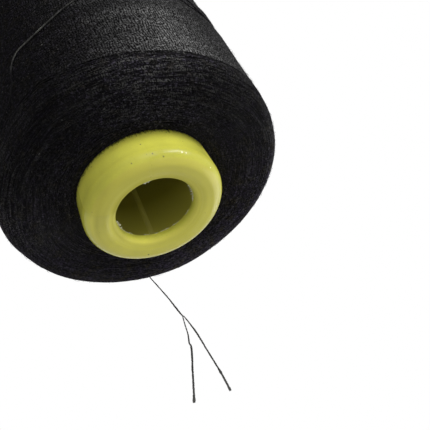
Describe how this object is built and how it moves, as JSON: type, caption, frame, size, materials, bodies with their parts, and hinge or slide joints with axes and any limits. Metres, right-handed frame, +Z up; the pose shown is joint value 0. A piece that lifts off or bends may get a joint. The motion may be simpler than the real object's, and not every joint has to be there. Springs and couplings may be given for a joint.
{
  "type": "cone of sewing thread",
  "caption": "Tapered cone of cross-wound black sewing thread on a hollow yellow-green plastic core, with its loose end lying behind it.",
  "frame": {"origin": "centre of the base, in the plane of the foot ring that the core stands on", "axes": "+Z up the axis from the base to the nose; -Y is the front, and the loose end lies behind, towards +Y"},
  "size_m": [0.0924, 0.1551, 0.145],
  "materials": {
    "core_plastic": "waxy, slightly translucent yellow-green blow-moulded plastic",
    "wound_thread": "black spun polyester thread, cross-wound, with a fine fuzz",
    "loose_thread": "single black spun thread of two plies, slightly fluffy"
  },
  "bodies": {
    "root": {"cone_core": "core_plastic", "thread_body": "wound_thread", "outer_turns": "wound_thread", "thread_tail": "loose_thread", "tail_ply_left": "loose_thread", "tail_ply_right": "loose_thread"}
  },
  "joints": []
}
